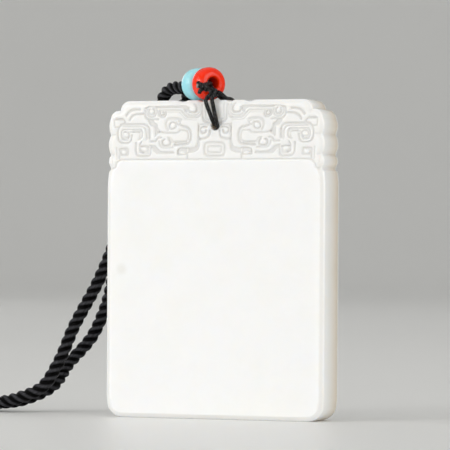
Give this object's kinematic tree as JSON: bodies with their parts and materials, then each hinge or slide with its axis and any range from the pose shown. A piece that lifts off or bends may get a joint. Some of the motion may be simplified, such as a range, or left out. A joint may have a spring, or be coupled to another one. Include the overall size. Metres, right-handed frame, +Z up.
{
  "type": "jade pendant with bead and neck cord",
  "caption": "Rectangular white jade tablet pendant with a carved scroll band, lobed shoulders, ring beads on a thin cord loop and a twisted neck cord.",
  "frame": {"origin": "middle of the tablet's lower edge, on the surface that it stands on", "axes": "+X along the tablet's width to the viewer's right, -Y out of the carved front, +Z up through the tablet's height"},
  "size_m": [0.1554, 0.0275, 0.0685],
  "materials": {
    "jade": "polished white nephrite, slightly translucent",
    "red_stone": "glossy orange red",
    "turquoise_stone": "glossy pale turquoise",
    "thin_cord": "black waxed thread",
    "twisted_cord": "black satin cord of three twisted strands"
  },
  "bodies": {
    "root": {"plaque": "jade", "red_bead": "red_stone", "turquoise_bead": "turquoise_stone", "knot": "thin_cord", "pendant_loop": "thin_cord", "neck_cord": "twisted_cord"}
  },
  "joints": []
}
